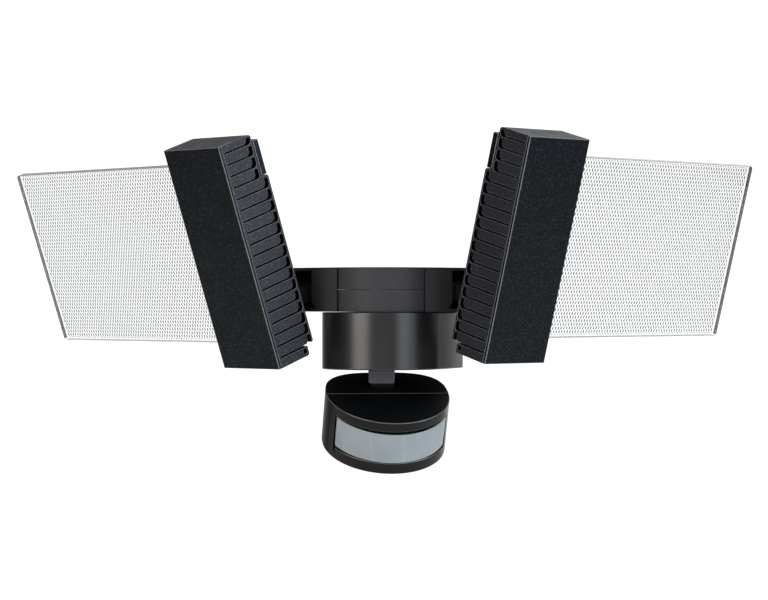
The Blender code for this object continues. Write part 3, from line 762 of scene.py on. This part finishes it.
def sensor_plan(low, high, rear, inset, front_half, beyond=0.0):
    """Half of the sensor's plan: half a circle before the seam, or the squarer half behind it.

    The rear half is a superellipse of the third power. beyond carries the plan on past the seam.
    """
    radius = (high.x - low.x) / 2 - inset
    if front_half:
        seam = high.y
        points = arc((0, seam), radius, 180, 360, 56)
    else:
        seam = rear[0].y
        depth = rear[1].y - seam - inset
        steps = 48
        points = []
        for n in range(steps + 1):
            angle = math.pi * n / steps
            across = math.copysign(abs(math.cos(angle)) ** (2 / 3), math.cos(angle))
            points.append((radius * across, seam + depth * math.sin(angle) ** (2 / 3)))
    if beyond:
        edge = seam + (beyond if front_half else -beyond)
        points += [(math.copysign(radius, points[-1][0]), edge), (math.copysign(radius, points[0][0]), edge)]
    return points


def sensor_case(name, node, place, front_half):
    """One hollow half of the sensor's case, open at the seam."""
    low, high = local_box("sensor_front_shell", place)
    rear = local_box("sensor_rear_shell", place)
    bm = bmesh.new()
    extrude_outline(bm, sensor_plan(low, high, rear, 0, front_half), low.z, high.z, upright)
    piece = finish_piece(name, bm, place, MATS["sensor"], "sensor_head", (node,))
    inside = sensor_plan(low, high, rear, CASE_WALL, front_half, CASE_SEAM_LAP)
    return hollow(piece, inside, low.z + CASE_WALL, high.z - CASE_WALL, place)


def make_front_case(place, low, high):
    """The front half, with a window for the lens."""
    front = sensor_case("sensor_front_case", "sensor_front_shell", place, True)
    lens = local_box("fresnel_lens", place)
    reach = (high.x - low.x) / 2 + 3 * MM
    window = arc((0, high.y), reach, 270 - WINDOW_HALF, 270 + WINDOW_HALF, 48) + [(0, high.y)]
    hollow(front, window, lens[0].z - WINDOW_GAP, lens[1].z + WINDOW_GAP, place)
    # The front bevel takes the lighter finish: a painted highlight along the rim.
    bevel(front, 0.6 * MM, edge=MATS["sensor_painted_highlight_edge"])
    even_shading(front)


def make_rear_case(place, low, high):
    """The rear half, with a lined well for the neck, a notch for its collar and bores for the dials."""
    back = sensor_case("sensor_rear_case", "sensor_rear_shell", place, False)
    well = bmesh.new()
    add_box(well, (WELL_LEFT - WELL_WALL, WELL_FRONT - WELL_WALL, WELL_BOTTOM - WELL_WALL),
            (WELL_RIGHT + WELL_WALL, WELL_STEM_REAR + WELL_WALL, high.z - WELL_SUNK))
    lining = finish_piece("sensor_neck_well", well, place, MATS["sensor"], "sensor_head")
    for piece in (back, lining):
        for left, rear_end in ((WELL_LEFT, WELL_FACE_REAR), (WELL_STEM_LEFT, WELL_STEM_REAR)):
            slot = bmesh.new()
            add_box(slot, (left, WELL_FRONT, WELL_BOTTOM), (WELL_RIGHT, rear_end, high.z + PAST))
            cut(piece, slot, place)
    rear_wall = local_box("sensor_rear_shell", place)[1].y
    notch = bmesh.new()
    add_box(notch, (-NOTCH_HALF, NOTCH_FRONT, NOTCH_BOTTOM), (NOTCH_HALF, rear_wall + PAST, high.z + PAST))
    cut(back, notch, place)
    bores = bmesh.new()
    for x in (-DIAL_ASIDE, DIAL_ASIDE):
        bmesh.ops.create_cone(bores, cap_ends=True, segments=40, radius1=DIAL_BORE, radius2=DIAL_BORE,
                              depth=DIAL_BORE_DEPTH, matrix=Matrix.Translation((x, DIAL_FRONT, low.z)))
    cut(back, bores, place)
    bevel(back, 0.75 * MM, 3)
    even_shading(back)


def make_seam_bead(place, low, high):
    """The thin bead along the top of the seam. Its round shape catches light, and its grey is a painted
    highlight that lightens the line further.
    """
    bead = bmesh.new()
    half_width = (high.x - low.x) / 2 - BEAD
    along = Matrix.Translation((0, high.y, high.z - BEAD_SUNK)) @ Matrix.Rotation(math.pi / 2, 4, "Y")
    bmesh.ops.create_cone(bead, cap_ends=True, segments=12, radius1=BEAD, radius2=BEAD,
                          depth=2 * half_width, matrix=along)
    # The bead takes the neck's grey: a painted highlight on the seam line.
    finish_piece("sensor_seam_bead", bead, place, MATS["neck"], "sensor_head")


def make_sensor_shells():
    place = sensor_place()
    low, high = local_box("sensor_front_shell", place)
    make_front_case(place, low, high)
    make_rear_case(place, low, high)
    make_seam_bead(place, low, high)



# ---------------------------------------------------------------- the rest

def make_body():
    make_drum()
    soften_node("wall_plate", 0.5 * MM, MATS["steel"])
    for side in ("left", "right"):
        # The arms' bevels take the lighter edge finish: painted highlight lines along their edges.
        soften_node(f"{side}_arm", 0.5 * MM, MATS["arm"], edge=MATS["edge"])
        soften_node(f"{side}_tilt_pin", 0.5 * MM, MATS["steel"])
    soften_node("post_cap", 0.8 * MM, MATS["arm"])
    finishes = {
        "wire_grommet": "rubber", "canopy_seal": "rubber", "driver_board": "board", "transformer": "tape",
        "bulk_capacitor": "sleeve", "relay": "sleeve", "terminal_block": "nylon", "hinge_post": "steel",
        "friction_washer": "rubber", "spacer_sleeve": "steel"}
    for node, finish in finishes.items():
        soften_node(node, 0.3 * MM, MATS[finish])


def make_neck():
    """The neck: a grey face plate with round lower corners, and a stem with its collar and flange in the
    darker black of painted shade.
    """
    place = basis(axis_of("sensor_tilt"), Vector((0, 0, 1)), place_of("sensor_tilt"))
    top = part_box("canopy_housing")[0][2] - place.translation.z - NECK_GAP
    corners = [
        (NECK_FACE_LEFT, NECK_FACE_BOTTOM), (NECK_FACE_RIGHT, NECK_FACE_BOTTOM), (NECK_FACE_RIGHT, top),
        (NECK_FACE_LEFT, top)]
    outline = round_corners(corners, [NECK_FACE_ROUND, NECK_FACE_ROUND, 0, 0], 6)
    bm = bmesh.new()
    extrude_outline(bm, outline, NECK_FACE_FRONT, NECK_FACE_FRONT + NECK_FACE_DEPTH, frontways)
    plate = finish_piece("sensor_neck_face", bm, place, MATS["neck"], "sensor_neck")
    bevel(plate, 0.35 * MM)

    front = NECK_FACE_FRONT + NECK_FACE_DEPTH - NECK_OVERLAP
    profile = arc((0, 0), -front, 180, 360, 18) + [
        (-front, STEM_BACK_TOP), (STEM_REAR, STEM_SHOULDER), (STEM_REAR, top), (front, top)]
    bm = bmesh.new()
    extrude_outline(bm, profile, STEM_LEFT, NECK_FACE_RIGHT, sideways)
    # The stem below the face plate is in the painted-shade black.
    finish_piece("sensor_neck_stem", bm, place, MATS["painted_shade"], "sensor_neck", ("sensor_neck",))

    swivel = place.inverted() @ Vector((*place_of("sensor_swivel")[:2], place.translation.z))
    flange_top = local_box("sensor_neck", place)[1].z
    flange = flange_top - FLANGE_THICK
    for name, radius, start, end in (
            ("collar", COLLAR_RADIUS, top, flange + NECK_OVERLAP),
            ("flange", FLANGE_RADIUS, flange, flange_top)):
        bm = bmesh.new()
        extrude_outline(bm, arc(swivel, radius, 0, 350, 35), start, end, upright)
        finish_piece(f"sensor_neck_{name}", bm, place, MATS["painted_shade"], "sensor_neck")


def make_sensor():
    make_neck()
    make_sensor_shells()
    finishes = {
        "sensor_tilt_pin": "steel", "pyro_detector": "steel", "time_dial": "dial", "range_dial": "dial"}
    for node, finish in finishes.items():
        soften_node(node, 0.3 * MM, MATS[finish])
    for node, finish in (("sensor_board", "board"), ("fresnel_lens", "lens")):
        soften_node(node, 0.2 * MM, MATS[finish])



# ---------------------------------------------------------------- stage

def view_axes():
    """The photograph's right and its line of sight, both level."""
    right = Vector((math.cos(VIEW_TURN), math.sin(VIEW_TURN), 0))
    ahead = Vector((-math.sin(VIEW_TURN), math.cos(VIEW_TURN), 0))
    return right, ahead


def make_camera():
    right, ahead = view_axes()
    post = place_of("left_arm_swivel")
    data = bpy.data.cameras.new("camera")
    data.lens = LENS_MM
    data.sensor_width = 36
    data.clip_end = 100
    camera = bpy.data.objects.new("camera", data)
    SCENE.collection.objects.link(camera)
    camera.location = Vector((post.x, post.y, VIEW_HEIGHT)) - ahead * VIEW_DISTANCE + right * VIEW_ASIDE
    camera.rotation_euler = ahead.to_track_quat("-Z", "Y").to_euler()
    SCENE.camera = camera


def softbox(name, turn, lift, distance, width, height, watts, colour=(1, 1, 1)):
    """An area light aimed near the canopy, placed by its angles round from the camera and up."""
    right, ahead = view_axes()
    turn, lift = math.radians(turn), math.radians(lift)
    way = (right * math.sin(turn) - ahead * math.cos(turn)) * math.cos(lift) + Vector((0, 0, math.sin(lift)))
    data = bpy.data.lights.new(name, "AREA")
    data.shape = "RECTANGLE"
    data.size = width
    data.size_y = height
    data.energy = watts
    data.color = colour
    light = bpy.data.objects.new(name, data)
    SCENE.collection.objects.link(light)
    light.location = LIGHT_AIM + way * distance
    light.rotation_euler = way.to_track_quat("Z", "Y").to_euler()
    return light


def make_world():
    """White where the camera looks, also through the panels; a dim studio, bright behind, in reflections."""
    world = bpy.data.worlds.new("studio")
    SCENE.world = world
    world.use_nodes = True
    tree = world.node_tree
    background = tree.nodes["Background"]
    background.inputs["Color"].default_value = grey(1.0)
    paths = tree.nodes.new("ShaderNodeLightPath")
    coords = tree.nodes.new("ShaderNodeTexCoord")
    parts = []
    for way in (*view_axes(), Vector((0, 0, 1))):
        along = tree.nodes.new("ShaderNodeVectorMath")
        along.operation = "DOT_PRODUCT"
        along.inputs[1].default_value = way
        tree.links.new(coords.outputs["Generated"], along.inputs[0])
        parts.append(along.outputs["Value"])
    towards_camera = math_node(tree, "MULTIPLY", parts[1], -1.0)
    turn = math_node(tree, "ARCTAN2", parts[0], towards_camera)
    share = math_node(tree, "ADD", math_node(tree, "DIVIDE", turn, math.tau), 0.5)
    ring = tree.nodes.new("ShaderNodeValToRGB")
    stops = ring.color_ramp.elements
    for degrees, level in STUDIO_RING[1:-1]:
        stops.new((degrees + 180) / 360).color = grey(level)
    stops[0].color = grey(STUDIO_RING[0][1])
    stops[-1].color = grey(STUDIO_RING[-1][1])
    tree.links.new(share, ring.inputs["Fac"])
    lift = tree.nodes.new("ShaderNodeMapRange")
    lift.inputs["From Min"].default_value = RING_FADE[0]
    lift.inputs["From Max"].default_value = RING_FADE[1]
    lift.inputs["To Min"].default_value = 1.0
    lift.inputs["To Max"].default_value = CEILING
    tree.links.new(parts[2], lift.inputs["Value"])
    around = math_node(tree, "MULTIPLY", ring.outputs["Color"], lift.outputs["Result"])
    seen = math_node(tree, "MAXIMUM", paths.outputs["Is Camera Ray"], paths.outputs["Is Transmission Ray"])
    mix = tree.nodes.new("ShaderNodeMix")
    mix.inputs[3].default_value = BACKDROP
    tree.links.new(seen, mix.inputs[0])
    tree.links.new(around, mix.inputs[2])
    tree.links.new(mix.outputs[0], background.inputs["Strength"])


def make_stage():
    bm = bmesh.new()
    bmesh.ops.create_circle(bm, cap_ends=True, segments=96, radius=FLOOR_RADIUS)
    mesh = bpy.data.meshes.new("floor")
    bm.to_mesh(mesh)
    bm.free()
    mesh.materials.append(stage_white("pale_floor"))
    floor = bpy.data.objects.new("floor", mesh)
    SCENE.collection.objects.link(floor)
    floor.location = (0, 0, FLOOR_Z)


make_camera()
make_world()
make_stage()
softbox("left_softbox", -42, 18, 2.4, 1.35, 2.1, 60, (1.0, 0.94, 0.88))
softbox("right_softbox", 40, 14, 2.4, 0.95, 2.0, 22, (0.84, 0.92, 1.0))
softbox("right_side_softbox", 69, 21, 2.2, 1.0, 1.4, 50, (0.92, 0.96, 1.0))
softbox("front_softbox", 2, 6, 3.4, 1.8, 1.4, 5)
softbox("top_softbox", 10, 78, 2.2, 2.4, 1.6, 16)
softbox("low_fill", 0, -24, 1.15, 0.6, 0.3, 2.5).visible_camera = False
make_head("left", -1)
make_head("right", 1)
make_body()
make_sensor()
SCENE.view_settings.view_transform = "Standard"

bpy.context.view_layer.update()
